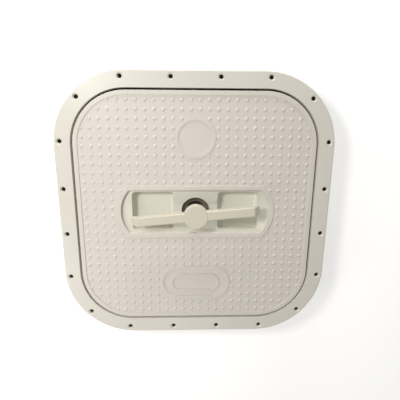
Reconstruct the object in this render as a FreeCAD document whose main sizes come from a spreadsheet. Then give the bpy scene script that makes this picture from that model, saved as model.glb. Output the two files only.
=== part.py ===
import FreeCAD, Part
import math
import os
import Sketcher
from FreeCAD import Vector

# Square deck hatch with a lift-out lid and a pull-up T-handle that turns a locking bar.
# Origin: centre of the hatch, on the deck surface under the flange. +Z points out of the deck,
# +X lies along the handle recess. Lengths are millimetres, levels are heights above the deck.

DRIVING_SIZES = [
    # mounting frame
    ("flange_side", 375.0, "side of the square flange"),
    ("flange_corner", 98.0, "outer corner radius of the flange"),
    ("flange_thick", 4.0, "flange thickness"),
    ("flange_round", 1.8, "rounding of the flange's outer edge"),
    ("screw_pitch", 64.8, "pitch of the four screws along a side"),
    ("screw_edge", 7.8, "distance of a screw row from the flange's edge"),
    ("corner_screw_edge", 6.92, "distance of a corner screw from the flange's edge"),
    ("screw_hole", 5.6, "clearance hole of a deck screw"),
    ("screw_sink", 8.8, "countersink diameter"),
    ("flange_width", 22.3, "width of the flange round the well"),
    ("well_corner", 74.0, "corner radius of the well"),
    ("lip_run", 5.5, "width of the slope round the well's mouth"),
    ("lip_drop", 0.7, "fall of that slope"),
    ("neck_wall", 3.0, "wall of the neck that passes through the deck"),
    ("neck_depth", 58.0, "depth of the neck below the deck"),
    ("shelf_depth", 15.0, "depth of the shelf below the flange's top"),
    ("shelf_thick", 3.0, "thickness of the shelf"),
    ("shelf_width", 16.7, "width of the shelf inside the well"),
    ("coaming_wall", 3.0, "wall of the sealing rib on the shelf"),
    ("coaming_height", 6.0, "height of the sealing rib"),
    ("gusset_thick", 2.6, "web under the shelf"),
    ("gusset_height", 22.0, "height of that web on the neck"),
    ("gusset_spread", 180.0, "first to last web on a side"),
    # keepers under the shelf, and the gaps of the lock
    ("keeper_reach", 9.0, "how far a keeper stands into the opening"),
    ("keeper_lead", 4.2, "length of the ramp that leads the bar in"),
    ("keeper_lift", 1.4, "height of that ramp"),
    ("keeper_stop", 8.0, "thickness of the end stop"),
    ("catch_gap", 0.3, "gap between keeper and locked bar"),
    ("exit_gap", 0.8, "gap between keeper and bar in the unlocked rest position"),
    ("end_gap", 1.5, "gap between the bar's end and the opening"),
    # lid
    ("lid_gap", 2.3, "gap between lid and well"),
    ("lid_thick", 3.3, "thickness of the lid panel"),
    ("field_drop", 1.2, "depth of the tread field below the lid's rim"),
    ("lid_rim", 5.9, "width of the flat rim"),
    ("lid_round", 0.8, "rounding of the lid's outer edge"),
    ("skirt_wall", 2.7, "wall of the skirt under the rim"),
    ("skirt_depth", 4.5, "depth of the skirt"),
    ("recess_half", 30.8, "half width of the handle recess"),
    ("recess_end", 47.0, "radius of its round ends"),
    ("recess_centre", 56.5, "centre of a round end, from the middle"),
    ("ridge_width", 6.6, "ridge round the recess"),
    ("ridge_rise", 1.4, "its height over the field"),
    ("relief_round", 0.5, "rounding of the raised outlines"),
    ("ring_centre", 102.0, "centre of the round raised outline"),
    ("ring_radius", 27.0, "its outer radius"),
    ("ring_width", 3.6, "its width"),
    ("ring_rise", 1.0, "its height over the field"),
    ("panel_centre", 108.0, "centre of the long raised outline, towards -Y"),
    ("panel_length", 101.0, "its overall length"),
    ("panel_width", 51.0, "its overall width"),
    ("panel_border", 4.2, "width of its border"),
    ("panel_rise", 1.2, "its height over the field"),
    ("inlay_length", 70.0, "overall length of the inner outline"),
    ("inlay_width", 27.0, "its overall width"),
    ("inlay_border", 2.6, "width of its border"),
    ("groove_rib", 2.0, "ribs that hold the seal"),
    ("groove_depth", 3.0, "their depth"),
    ("seal_width", 5.2, "width of the lid seal"),
    ("seal_play", 0.2, "side play of the seal between its ribs"),
    ("stiffener", 2.0, "thickness of the lid's stiffening ribs"),
    ("stiffener_depth", 8.5, "their depth"),
    ("stiffener_pitch", 44.0, "pitch of the ribs along Y"),
    ("cross_near", 58.0, "rib along X next to the recess"),
    ("cross_far", 88.0, "rib along X next to the rim"),
    ("end_rib", 20.0, "short ribs beyond the recess ends"),
    # handle pan
    ("pan_gasket_thick", 0.8, "gasket between pan and lid"),
    ("pan_flange_thick", 2.4, "flange of the pan"),
    ("pan_flange_width", 9.0, "its width outside the recess"),
    ("pan_wall", 2.4, "wall of the pockets and the cup"),
    ("pocket_near", 31.0, "pocket wall next to the middle"),
    ("pocket_far", 88.5, "pocket wall at the recess end"),
    ("pocket_half", 27.7, "half width of a finger pocket"),
    ("pocket_corner", 5.0, "its corner radius"),
    ("pocket_depth", 15.7, "its depth below the pan's top"),
    ("slot_half", 12.2, "half width of the slot for the handle"),
    ("slot_depth", 3.7, "depth of the slot below the pan's top"),
    ("tab_round", 4.4, "rounded corners of the slot's mouths"),
    ("floor_round", 4.0, "rounding between a pocket's walls and its floor"),
    ("cup_radius", 19.6, "radius of the cup under the hub"),
    ("cup_depth", 15.2, "depth of the cup below the pan's top"),
    ("boss_wall", 2.95, "wall of the boss round the bush"),
    ("boss_drop", 6.0, "boss underside below the bar's tongues"),
    ("web_thick", 2.4, "webs between boss and pockets"),
    ("pan_screw", 3.0, "diameter of the pan's screws"),
    ("pan_screw_head", 5.6, "head diameter"),
    ("pan_screw_head_height", 1.8, "head height"),
    ("pan_screw_bite", 3.0, "length of screw in the lid"),
    ("pan_screw_pitch", 50.0, "pitch of the screws along the recess"),
    # lock spindle
    ("turning_gap", 0.1, "axial gap of turning faces"),
    ("running_gap", 0.05, "radial gap of turning faces"),
    ("flange_washer_thick", 0.8, "washer under the sleeve's flange"),
    ("cup_gap", 0.7, "gap between the sleeve's flange and the cup"),
    ("sleeve_flange_thick", 2.6, "its thickness"),
    ("sleeve_radius", 13.0, "outer radius of the sleeve"),
    ("bush_wall", 2.5, "wall of the bush"),
    ("bush_flange_thick", 2.0, "flange of the bush"),
    ("thrust_washer_thick", 0.9, "washer between bush and bar"),
    ("ring_section", 0.85, "section radius of the sleeve's O-ring"),
    ("ring_drop", 7.0, "O-ring below the sleeve's top"),
    ("drive_flat", 11.3, "distance of the drive flats from the axis"),
    ("thread_radius", 11.2, "thread for the ring nut"),
    ("nut_height", 5.5, "ring nut"),
    ("nut_radius", 18.0, "ring nut over its corners"),
    ("thread_end", 1.5, "thread below the nut"),
    ("wiper_radius", 11.8, "outer radius of the wiper"),
    ("wiper_depth", 3.0, "depth of the wiper's seat"),
    ("guide_length", 8.0, "length of the round guide"),
    ("broach_half", 7.15, "half side of the square drive in the sleeve"),
    ("broach_corner", 2.0, "its corner radius"),
    # locking bar
    ("bar_depth", 12.0, "depth of the bar at its hub"),
    ("bar_hub_radius", 20.0, "hub of the bar"),
    ("bar_root_half", 10.5, "half width of an arm at the hub"),
    ("bar_clearance", 1.6, "gap between pan and bar"),
    ("crank_start", 24.0, "where an arm starts to rise"),
    ("crank_end", 100.0, "where an arm is level again"),
    ("tongue_half", 5.5, "half width of the tongue"),
    ("tongue_thick", 6.0, "thickness of the tongue"),
    ("bar_core_half", 3.6, "half width of the hollows under an arm"),
    ("bar_web", 3.0, "top and cross webs of an arm"),
    # T-handle, drawn up
    ("rest_angle", 5.15, "turn of handle and bar in degrees"),
    ("handle_lift", 16.0, "underside of the raised wings above the lid's ridge"),
    ("wing_height", 9.3, "height of the wings"),
    ("wing_half", 6.5, "half width of the wings"),
    ("wing_reach", 87.0, "foot of a wing's tip from the axis"),
    ("tip_slope", 7.9, "how far a tip leans in from foot to top"),
    ("tip_round", 2.5, "rounding between a tip and the wing's top"),
    ("wing_round", 1.7, "rounding of the sides' edges"),
    ("wing_shell", 2.4, "wall of the wings"),
    ("hub_radius", 16.2, "hub of the handle"),
    ("hub_web", 1.6, "web over the shaft"),
    ("cap_thick", 1.6, "cap on the hub"),
    ("cap_proud", 0.4, "cap above the wings"),
    ("cap_round", 0.8, "rounding of the cap's edge"),
    ("cap_rib_radius", 11.5, "middle radius of the rib that seats the cap"),
    ("cap_rib", 1.6, "thickness of that rib"),
    ("cap_rib_depth", 2.5, "its depth"),
    ("shaft_radius", 6.5, "handle shaft"),
    ("slide_gap", 0.08, "radial gap of the sliding shaft"),
    ("block_half", 7.0, "half side of the drive block"),
    ("block_height", 6.0, "height of the drive block"),
    ("block_corner", 1.9, "its corner radius"),
    ("stop_gap", 0.2, "gap over the block when the handle is up"),
    ("shaft_screw", 4.0, "diameter of the screws in the shaft"),
    ("shaft_screw_head", 8.0, "head diameter"),
    ("shaft_screw_head_height", 2.2, "head height"),
    ("shaft_screw_bite", 9.0, "length of screw in the shaft"),
]

doc = FreeCAD.newDocument("hatch_cover")
sheet = doc.addObject("Spreadsheet::Sheet", "sizes")
for row, (alias, number, note) in enumerate(DRIVING_SIZES, start=1):
    sheet.set(f"A{row}", note)
    sheet.set(f"B{row}", str(number))
    sheet.setAlias(f"B{row}", alias)
doc.recompute()

# Half sizes and levels that follow from the driving sizes, as formulas for the objects.
FLANGE_HALF = "sizes.flange_side / 2"
WELL_HALF = f"({FLANGE_HALF} - sizes.flange_width)"
HATCHWAY_HALF = f"({WELL_HALF} - sizes.shelf_width)"
SCREW_ROW = f"({FLANGE_HALF} - sizes.screw_edge)"
CORNER_SCREW = (f"({FLANGE_HALF} - sizes.flange_corner"
                " + (sizes.flange_corner - sizes.corner_screw_edge) * sin(45deg))")
NECK_HALF = f"({WELL_HALF} + sizes.neck_wall)"
LID_HALF = f"({WELL_HALF} - sizes.lid_gap)"
SEAL_LINE = f"({HATCHWAY_HALF} + sizes.coaming_wall / 2)"
SHELF_TOP = "(sizes.flange_thick - sizes.shelf_depth)"
SHELF_UNDER = f"({SHELF_TOP} - sizes.shelf_thick)"
COAMING_TOP = f"({SHELF_TOP} + sizes.coaming_height)"
FIELD = "(sizes.flange_thick - sizes.field_drop)"
RIDGE_TOP = f"({FIELD} + sizes.ridge_rise)"
LID_UNDER = f"({FIELD} - sizes.lid_thick)"
PAN_TOP = f"({LID_UNDER} - sizes.pan_gasket_thick)"
PAN_FLANGE_UNDER = f"({PAN_TOP} - sizes.pan_flange_thick)"
PAN_UNDER = f"({PAN_TOP} - sizes.pocket_depth - sizes.pan_wall)"
CUP_FLOOR = f"({PAN_TOP} - sizes.cup_depth)"
TONGUE_TOP = f"({PAN_UNDER} - sizes.bar_clearance)"
TONGUE_UNDER = f"({TONGUE_TOP} - sizes.tongue_thick)"
BOSS_UNDER = f"({TONGUE_TOP} - sizes.boss_drop)"
SLEEVE_FLANGE_UNDER = f"({CUP_FLOOR} + sizes.flange_washer_thick + sizes.turning_gap)"
SLEEVE_TOP = f"({SLEEVE_FLANGE_UNDER} + sizes.sleeve_flange_thick)"
WIPER_SEAT = f"({SLEEVE_TOP} - sizes.wiper_depth)"
GUIDE_END = f"({WIPER_SEAT} - sizes.guide_length)"
BUSH_UNDER = f"({BOSS_UNDER} - sizes.bush_flange_thick)"
THRUST_TOP = f"({BUSH_UNDER} - sizes.turning_gap)"
BAR_TOP = f"({THRUST_TOP} - sizes.thrust_washer_thick)"
BAR_UNDER = f"({BAR_TOP} - sizes.bar_depth)"
NUT_UNDER = f"({BAR_UNDER} - sizes.nut_height)"
SLEEVE_UNDER = f"({NUT_UNDER} - sizes.thread_end)"
BUSH_RADIUS = "(sizes.sleeve_radius + sizes.running_gap + sizes.bush_wall)"
BOSS_RADIUS = f"({BUSH_RADIUS} + sizes.boss_wall)"
SLEEVE_FLANGE_RADIUS = "(sizes.cup_radius - sizes.cup_gap)"
BAR_REACH = f"({HATCHWAY_HALF} - sizes.end_gap)"
WING_UNDER = f"({RIDGE_TOP} + sizes.handle_lift)"
WING_TOP = f"({WING_UNDER} + sizes.wing_height)"
CAP_TOP = f"({WING_TOP} + sizes.cap_proud)"
CAP_UNDER = f"({CAP_TOP} - sizes.cap_thick)"
SHAFT_TOP = f"({CAP_UNDER} - sizes.shaft_screw_head_height - sizes.hub_web)"
SHAFT_END = f"({GUIDE_END} - sizes.stop_gap)"
BLOCK_UNDER = f"({SHAFT_END} - sizes.block_height)"

# Names of the sub-parts, in the order in which they are written out.
written_parts = []

QUARTER_TURN = math.pi / 2


def value(formula):
    """The present value of a formula on the sheet."""
    return float(sheet.evalExpression(formula))


def constrain(sketch, constraint, formula):
    """Add a dimension to a sketch and tie it to a formula."""
    index = sketch.addConstraint(constraint)
    sketch.setExpression(f"Constraints[{index}]", formula)


def pin_point(sketch, geometry, point, x_formula, y_formula):
    """Fix one point of a sketch; "0" puts it on the axis."""
    for kind, formula, axis in (("DistanceX", x_formula, -2), ("DistanceY", y_formula, -1)):
        if formula == "0":
            sketch.addConstraint(Sketcher.Constraint("PointOnObject", geometry, point, axis))
        else:
            distance = Sketcher.Constraint(kind, -1, 1, geometry, point, value(formula))
            constrain(sketch, distance, formula)


def add_circle(sketch, x_formula, y_formula, radius):
    centre = Vector(value(x_formula), value(y_formula), 0)
    circle = sketch.addGeometry(Part.Circle(centre, Vector(0, 0, 1), value(radius)))
    pin_point(sketch, circle, 3, x_formula, y_formula)
    constrain(sketch, Sketcher.Constraint("Radius", circle, value(radius)), radius)


def add_polygon(sketch, corners):
    """Closed outline of straight lines through (x, y) formulas."""
    points = [Vector(value(x), value(y), 0) for x, y in corners]
    lines = []
    for start, end in zip(points, points[1:] + points[:1]):
        lines.append(sketch.addGeometry(Part.LineSegment(start, end)))
    for line, following in zip(lines, lines[1:] + lines[:1]):
        sketch.addConstraint(Sketcher.Constraint("Coincident", line, 2, following, 1))
    for line, (x, y) in zip(lines, corners):
        pin_point(sketch, line, 1, x, y)


def add_arc(sketch, centre, radius, start_angle, end_angle):
    circle = Part.Circle(centre, Vector(0, 0, 1), radius)
    return sketch.addGeometry(Part.ArcOfCircle(circle, start_angle, end_angle))


def add_rounded_rectangle(sketch, low_x, high_x, low_y, high_y, corner):
    """Four lines and four tangent arcs, anticlockwise from the right-hand side."""
    left, right, bottom, top = (value(side) for side in (low_x, high_x, low_y, high_y))
    radius = value(corner)
    centres = [
        Vector(right - radius, top - radius, 0),
        Vector(left + radius, top - radius, 0),
        Vector(left + radius, bottom + radius, 0),
        Vector(right - radius, bottom + radius, 0),
    ]
    sides = [
        (Vector(right, bottom + radius, 0), Vector(right, top - radius, 0)),
        (Vector(right - radius, top, 0), Vector(left + radius, top, 0)),
        (Vector(left, top - radius, 0), Vector(left, bottom + radius, 0)),
        (Vector(left + radius, bottom, 0), Vector(right - radius, bottom, 0)),
    ]
    loop = []
    for turn, (centre, (start, end)) in enumerate(zip(centres, sides)):
        loop.append(sketch.addGeometry(Part.LineSegment(start, end)))
        loop.append(add_arc(sketch, centre, radius, turn * QUARTER_TURN, (turn + 1) * QUARTER_TURN))
    for piece, following in zip(loop, loop[1:] + loop[:1]):
        sketch.addConstraint(Sketcher.Constraint("Tangent", piece, 2, following, 1))
    right_line, first_arc, top_line, second_arc, left_line, third_arc, bottom_line, last_arc = loop
    for line, direction in ((right_line, "Vertical"), (left_line, "Vertical"),
                            (top_line, "Horizontal"), (bottom_line, "Horizontal")):
        sketch.addConstraint(Sketcher.Constraint(direction, line))
    for arc in (second_arc, third_arc, last_arc):
        sketch.addConstraint(Sketcher.Constraint("Equal", first_arc, arc))
    constrain(sketch, Sketcher.Constraint("Radius", first_arc, radius), corner)
    for line, direction, formula in ((right_line, "DistanceX", high_x), (left_line, "DistanceX", low_x),
                                     (top_line, "DistanceY", high_y), (bottom_line, "DistanceY", low_y)):
        constrain(sketch, Sketcher.Constraint(direction, -1, 1, line, 1, value(formula)), formula)


def add_square(sketch, half, corner):
    """Square with round corners about the origin."""
    add_rounded_rectangle(sketch, f"-({half})", half, f"-({half})", half, corner)


def add_well_outline(sketch, half):
    """Square outline whose corners are concentric with those of the well."""
    add_square(sketch, half, f"sizes.well_corner - {WELL_HALF} + {half}")


def add_recess_outline(sketch, offset):
    """Outline of the handle recess, two straight sides and two round ends, moved outwards."""
    half_formula = f"sizes.recess_half + {offset}"
    end_formula = f"sizes.recess_end + {offset}"
    half, radius, centre = value(half_formula), value(end_formula), value("sizes.recess_centre")
    reach = centre + (radius ** 2 - half ** 2) ** 0.5
    top = sketch.addGeometry(Part.LineSegment(Vector(reach, half, 0), Vector(-reach, half, 0)))
    left_end = Part.Arc(Vector(-reach, half, 0), Vector(-centre - radius, 0, 0), Vector(-reach, -half, 0))
    left = sketch.addGeometry(left_end)
    bottom = sketch.addGeometry(Part.LineSegment(Vector(-reach, -half, 0), Vector(reach, -half, 0)))
    right_end = Part.Arc(Vector(reach, -half, 0), Vector(centre + radius, 0, 0), Vector(reach, half, 0))
    right = sketch.addGeometry(right_end)
    for piece, following in ((top, left), (left, bottom), (bottom, right), (right, top)):
        sketch.addConstraint(Sketcher.Constraint("Coincident", piece, 2, following, 1))
    for line in (top, bottom):
        sketch.addConstraint(Sketcher.Constraint("Horizontal", line))
    pin_point(sketch, right, 3, "sizes.recess_centre", "0")
    pin_point(sketch, left, 3, "-sizes.recess_centre", "0")
    constrain(sketch, Sketcher.Constraint("Radius", right, radius), end_formula)
    sketch.addConstraint(Sketcher.Constraint("Equal", right, left))
    constrain(sketch, Sketcher.Constraint("DistanceY", -1, 1, top, 1, half), half_formula)
    constrain(sketch, Sketcher.Constraint("DistanceY", bottom, 1, -1, 1, half), half_formula)


def add_stadium(sketch, centre_y, length, width):
    """Outline with straight sides along X and half-round ends, centred on the Y axis."""
    radius = f"({width}) / 2"
    straight = f"(({length}) - ({width})) / 2"
    half, reach, middle = value(radius), value(straight), value(centre_y)
    upper, lower = middle + half, middle - half
    top = sketch.addGeometry(Part.LineSegment(Vector(reach, upper, 0), Vector(-reach, upper, 0)))
    left = add_arc(sketch, Vector(-reach, middle, 0), half, QUARTER_TURN, 3 * QUARTER_TURN)
    bottom = sketch.addGeometry(Part.LineSegment(Vector(-reach, lower, 0), Vector(reach, lower, 0)))
    right = add_arc(sketch, Vector(reach, middle, 0), half, -QUARTER_TURN, QUARTER_TURN)
    for piece, following in ((top, left), (left, bottom), (bottom, right), (right, top)):
        sketch.addConstraint(Sketcher.Constraint("Tangent", piece, 2, following, 1))
    sketch.addConstraint(Sketcher.Constraint("Horizontal", top))
    sketch.addConstraint(Sketcher.Constraint("Equal", right, left))
    constrain(sketch, Sketcher.Constraint("Radius", right, half), radius)
    pin_point(sketch, right, 3, straight, centre_y)
    constrain(sketch, Sketcher.Constraint("DistanceX", left, 3, -1, 1, reach), straight)


def new_body(name):
    body = doc.addObject("PartDesign::Body", name)
    body.Label = name
    written_parts.append(body)
    return body


def origin_feature(body, role):
    return next(feature for feature in body.Origin.OriginFeatures if feature.Role == role)


def sketch_on(body, name, level="0", plane="XY_Plane"):
    """Empty sketch on an origin plane of the body, moved along the plane's normal."""
    sketch = body.newObject("Sketcher::SketchObject", name)
    sketch.AttachmentSupport = (origin_feature(body, plane), [""])
    sketch.MapMode = "FlatFace"
    if level != "0":
        sketch.setExpression("AttachmentOffset.Base.z", level)
    return sketch


def extrude(kind, sketch, length, reverse=False, symmetric=False):
    """Pad or Pocket of a sketch. A pocket cuts against the sketch's normal unless reversed."""
    body = sketch.getParentGeoFeatureGroup()
    feature = body.newObject(f"PartDesign::{kind}", f"{sketch.Name}_{kind.lower()}")
    feature.Profile = sketch
    feature.setExpression("Length", length)
    feature.Reversed = reverse
    if symmetric:
        feature.SideType = "Symmetric"
    return feature


def revolve(sketch):
    """Full turn of a profile in the XZ plane about the Z axis."""
    body = sketch.getParentGeoFeatureGroup()
    feature = body.newObject("PartDesign::Revolution", f"{sketch.Name}_turned")
    feature.Profile = sketch
    feature.ReferenceAxis = (sketch, ["V_Axis"])
    feature.Angle = 360.0
    return feature


def turned_body(name, profile):
    """Body turned about the Z axis from (radius, level) formulas."""
    body = new_body(name)
    sketch = sketch_on(body, f"{name}_profile", plane="XZ_Plane")
    add_polygon(sketch, profile)
    revolve(sketch)
    return body


def polar_pattern(body, feature, count):
    pattern = body.newObject("PartDesign::PolarPattern", f"{feature.Name}_round")
    pattern.Originals = [feature]
    pattern.Axis = (origin_feature(body, "Z_Axis"), [""])
    pattern.Angle = 360.0
    pattern.Occurrences = count
    body.Tip = pattern
    return pattern


def mirrored(body, feature, plane):
    copy = body.newObject("PartDesign::Mirrored", f"{feature.Name}_mirrored")
    copy.Originals = [feature]
    copy.MirrorPlane = (origin_feature(body, plane), [""])
    body.Tip = copy
    return copy


def level_edges(feature, level, accept=None):
    """Names of the edges that lie flat at one level and pass a test of their middle point."""
    height = value(level)
    names = []
    for number, edge in enumerate(feature.Shape.Edges, start=1):
        box = edge.BoundBox
        if abs(box.ZMin - height) > 1e-4 or abs(box.ZMax - height) > 1e-4:
            continue
        middle = edge.valueAt((edge.FirstParameter + edge.LastParameter) / 2)
        if accept is None or accept(middle, edge):
            names.append(f"Edge{number}")
    return names


def round_edges(body, feature, names, radius):
    fillet = body.newObject("PartDesign::Fillet", f"{feature.Name}_rounded")
    fillet.Base = (feature, names)
    fillet.setExpression("Radius", radius)
    return fillet


def add_primitive(kind, name, level, **formulas):
    """Part primitive at a level on the Z axis, its sizes bound to the sheet."""
    solid = doc.addObject(f"Part::{kind}", name)
    for size, formula in formulas.items():
        solid.setExpression(size, formula)
    solid.setExpression("Placement.Base.z", level)
    return solid


def add_plain_ring(name, level, height, inner, outer):
    """Flat washer made of two cylinders."""
    disc = add_primitive("Cylinder", f"{name}_disc", level, Radius=outer, Height=height)
    hole = add_primitive("Cylinder", f"{name}_hole", level, Radius=inner, Height=height)
    washer = doc.addObject("Part::Cut", name)
    washer.Base = disc
    washer.Tool = hole
    washer.Label = name
    written_parts.append(washer)
    return washer


def add_o_ring(name, level, centre_radius, section_radius):
    ring = add_primitive("Torus", name, level, Radius1=centre_radius, Radius2=section_radius)
    ring.Label = name
    written_parts.append(ring)
    return ring


# The mounting frame is one moulding: flange, neck, shelf with its sealing rib, and two keepers.
frame = new_body("mounting_frame")
flange = sketch_on(frame, "flange")
add_square(flange, FLANGE_HALF, "sizes.flange_corner")
add_well_outline(flange, WELL_HALF)
extrude("Pad", flange, "sizes.flange_thick")

neck = sketch_on(frame, "neck")
add_well_outline(neck, NECK_HALF)
add_well_outline(neck, WELL_HALF)
extrude("Pad", neck, "sizes.neck_depth", reverse=True)

shelf = sketch_on(frame, "shelf", SHELF_TOP)
add_well_outline(shelf, f"({WELL_HALF} + sizes.neck_wall / 2)")
add_well_outline(shelf, HATCHWAY_HALF)
extrude("Pad", shelf, "sizes.shelf_thick", reverse=True)

coaming = sketch_on(frame, "coaming", SHELF_TOP)
add_well_outline(coaming, f"({HATCHWAY_HALF} + sizes.coaming_wall)")
add_well_outline(coaming, HATCHWAY_HALF)
extrude("Pad", coaming, "sizes.coaming_height")

# Keeper: flat catch, a ramp that leads the bar in, and a stop past the locked position.
KEEPER_UNDER = f"({TONGUE_TOP} + sizes.catch_gap)"
KEEPER_REACH = f"({HATCHWAY_HALF} - sizes.keeper_reach)"
KEEPER_EXIT = (f"({KEEPER_REACH} * sin(sizes.rest_angle * 1deg)"
               f" - sizes.tongue_half * cos(sizes.rest_angle * 1deg) - sizes.exit_gap)")
KEEPER_STOP = "(-sizes.tongue_half - sizes.catch_gap)"
keeper = sketch_on(frame, "keeper", KEEPER_REACH, plane="YZ_Plane")
add_polygon(keeper, [
    (f"{KEEPER_STOP} - sizes.keeper_stop", SHELF_TOP),
    (f"{KEEPER_STOP} - sizes.keeper_stop", TONGUE_UNDER),
    (KEEPER_STOP, TONGUE_UNDER),
    (KEEPER_STOP, KEEPER_UNDER),
    (f"{KEEPER_EXIT} - sizes.keeper_lead", KEEPER_UNDER),
    (KEEPER_EXIT, f"{KEEPER_UNDER} + sizes.keeper_lift"),
    (KEEPER_EXIT, SHELF_TOP),
])
keeper_pad = extrude("Pad", keeper, f"{WELL_HALF} - {KEEPER_REACH} + sizes.neck_wall / 2")
polar_pattern(frame, keeper_pad, 2)

# Triangular webs stiffen the shelf against the neck, four on each side.
gusset = sketch_on(frame, "gusset", "sizes.gusset_spread / 2", plane="XZ_Plane")
add_polygon(gusset, [
    (f"{HATCHWAY_HALF} + sizes.coaming_wall / 2", f"{SHELF_UNDER} + sizes.shelf_thick / 2"),
    (f"{WELL_HALF} + sizes.neck_wall / 2", f"{SHELF_UNDER} - sizes.gusset_height"),
    (f"{WELL_HALF} + sizes.neck_wall / 2", f"{SHELF_UNDER} + sizes.shelf_thick / 2"),
])
gusset_pad = extrude("Pad", gusset, "sizes.gusset_thick", symmetric=True)
gusset_set = frame.newObject("PartDesign::MultiTransform", "gusset_set")
gusset_row = frame.newObject("PartDesign::LinearPattern", "gusset_row")
gusset_row.Direction = (origin_feature(frame, "Y_Axis"), [""])
gusset_row.setExpression("Length", "sizes.gusset_spread")
gusset_row.Occurrences = 4
gusset_sides = frame.newObject("PartDesign::PolarPattern", "gusset_sides")
gusset_sides.Axis = (origin_feature(frame, "Z_Axis"), [""])
gusset_sides.Angle = 360.0
gusset_sides.Occurrences = 4
gusset_set.Originals = [gusset_pad]
gusset_set.Transformations = [gusset_row, gusset_sides]
frame.Tip = gusset_set
doc.recompute()

# Countersunk screw holes: four along each side and one in each corner.
holes = sketch_on(frame, "screw_holes", "sizes.flange_thick")
for step in (-1.5, -0.5, 0.5, 1.5):
    for side in ("", "-"):
        add_circle(holes, f"{step} * sizes.screw_pitch", f"{side}{SCREW_ROW}", "sizes.screw_hole / 2")
        add_circle(holes, f"{side}{SCREW_ROW}", f"{step} * sizes.screw_pitch", "sizes.screw_hole / 2")
for side_x in ("", "-"):
    for side_y in ("", "-"):
        add_circle(holes, f"{side_x}{CORNER_SCREW}", f"{side_y}{CORNER_SCREW}", "sizes.screw_hole / 2")
doc.recompute()
sinks = frame.newObject("PartDesign::Hole", "countersinks")
sinks.Profile = holes
sinks.ThreadType = "None"
sinks.DepthType = "Dimension"
sinks.DrillPoint = "Flat"
sinks.setExpression("Depth", "sizes.flange_thick * 1.2")
sinks.setExpression("Diameter", "sizes.screw_hole")
sinks.HoleCutType = "Countersink"
sinks.HoleCutCustomValues = True
sinks.HoleCutCountersinkAngle = 90.0
sinks.setExpression("HoleCutDiameter", "sizes.screw_sink")
doc.recompute()


def outer_flange_edge(middle, edge):
    return edge.BoundBox.DiagonalLength > value("sizes.screw_sink * 2") and (
        max(abs(middle.x), abs(middle.y)) > value(f"{NECK_HALF} + sizes.screw_hole")
        or abs(middle.x) + abs(middle.y) > value(f"2 * {CORNER_SCREW}"))


def well_mouth_edge(middle, edge):
    longer = edge.BoundBox.DiagonalLength > value("sizes.screw_sink * 2")
    return longer and not outer_flange_edge(middle, edge)


mouth = frame.newObject("PartDesign::Chamfer", "well_mouth")
mouth.Base = (sinks, level_edges(sinks, "sizes.flange_thick", well_mouth_edge))
mouth.ChamferType = "Two distances"
mouth.setExpression("Size", "sizes.lip_drop")
mouth.setExpression("Size2", "sizes.lip_run")
doc.recompute()
round_edges(frame, mouth, level_edges(mouth, "sizes.flange_thick", outer_flange_edge), "sizes.flange_round")

# The lid is one moulding: panel, raised rim, skirt, seal groove, raised outlines and ribs.
lid = new_body("lid_panel")
panel = sketch_on(lid, "panel", LID_UNDER)
add_well_outline(panel, LID_HALF)
add_recess_outline(panel, "0")
extrude("Pad", panel, "sizes.lid_thick")

rim = sketch_on(lid, "rim", FIELD)
add_well_outline(rim, LID_HALF)
add_well_outline(rim, f"({LID_HALF} - sizes.lid_rim)")
extrude("Pad", rim, "sizes.field_drop")

skirt = sketch_on(lid, "skirt", LID_UNDER)
add_well_outline(skirt, LID_HALF)
add_well_outline(skirt, f"({LID_HALF} - sizes.skirt_wall)")
extrude("Pad", skirt, "sizes.skirt_depth", reverse=True)

# Two ribs hold the seal over the sealing rib of the frame.
SEAL_INNER = f"({SEAL_LINE} - sizes.seal_width / 2)"
SEAL_OUTER = f"({SEAL_LINE} + sizes.seal_width / 2)"
for groove_name, groove_edge, rib_side in (("inner_groove", f"({SEAL_INNER} - sizes.seal_play)", "-"),
                                           ("outer_groove", f"({SEAL_OUTER} + sizes.seal_play)", "+")):
    groove = sketch_on(lid, groove_name, LID_UNDER)
    add_well_outline(groove, groove_edge)
    add_well_outline(groove, f"({groove_edge} {rib_side} sizes.groove_rib)")
    extrude("Pad", groove, "sizes.groove_depth", reverse=True)

# Stiffening ribs run from the pan's flange to the seal groove.
RIB_END = f"({SEAL_INNER} - sizes.seal_play - sizes.groove_rib / 2)"
PAN_CLEAR = "(sizes.recess_half + sizes.pan_flange_width + 3)"
PAN_END_CLEAR = "(sizes.recess_centre + sizes.recess_end + sizes.pan_flange_width + 3)"
upright = sketch_on(lid, "upright_ribs", LID_UNDER)
for step in (-2, -1, 0, 1, 2):
    middle = f"{step} * sizes.stiffener_pitch"
    for low, high in ((PAN_CLEAR, RIB_END), (f"-{RIB_END}", f"-{PAN_CLEAR}")):
        add_polygon(upright, [
            (f"{middle} - sizes.stiffener / 2", low),
            (f"{middle} + sizes.stiffener / 2", low),
            (f"{middle} + sizes.stiffener / 2", high),
            (f"{middle} - sizes.stiffener / 2", high),
        ])
extrude("Pad", upright, "sizes.stiffener_depth", reverse=True)
cross = sketch_on(lid, "cross_ribs", LID_UNDER)
for side in ("", "-"):
    for distance in ("sizes.cross_near", "sizes.cross_far"):
        add_polygon(cross, [
            (f"-{RIB_END}", f"{side}{distance} - sizes.stiffener / 2"),
            (RIB_END, f"{side}{distance} - sizes.stiffener / 2"),
            (RIB_END, f"{side}{distance} + sizes.stiffener / 2"),
            (f"-{RIB_END}", f"{side}{distance} + sizes.stiffener / 2"),
        ])
    for low, high in ((PAN_END_CLEAR, RIB_END), (f"-{RIB_END}", f"-{PAN_END_CLEAR}")):
        add_polygon(cross, [
            (low, f"{side}sizes.end_rib - sizes.stiffener / 2"),
            (high, f"{side}sizes.end_rib - sizes.stiffener / 2"),
            (high, f"{side}sizes.end_rib + sizes.stiffener / 2"),
            (low, f"{side}sizes.end_rib + sizes.stiffener / 2"),
        ])
extrude("Pad", cross, "sizes.stiffener_depth", reverse=True)

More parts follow.
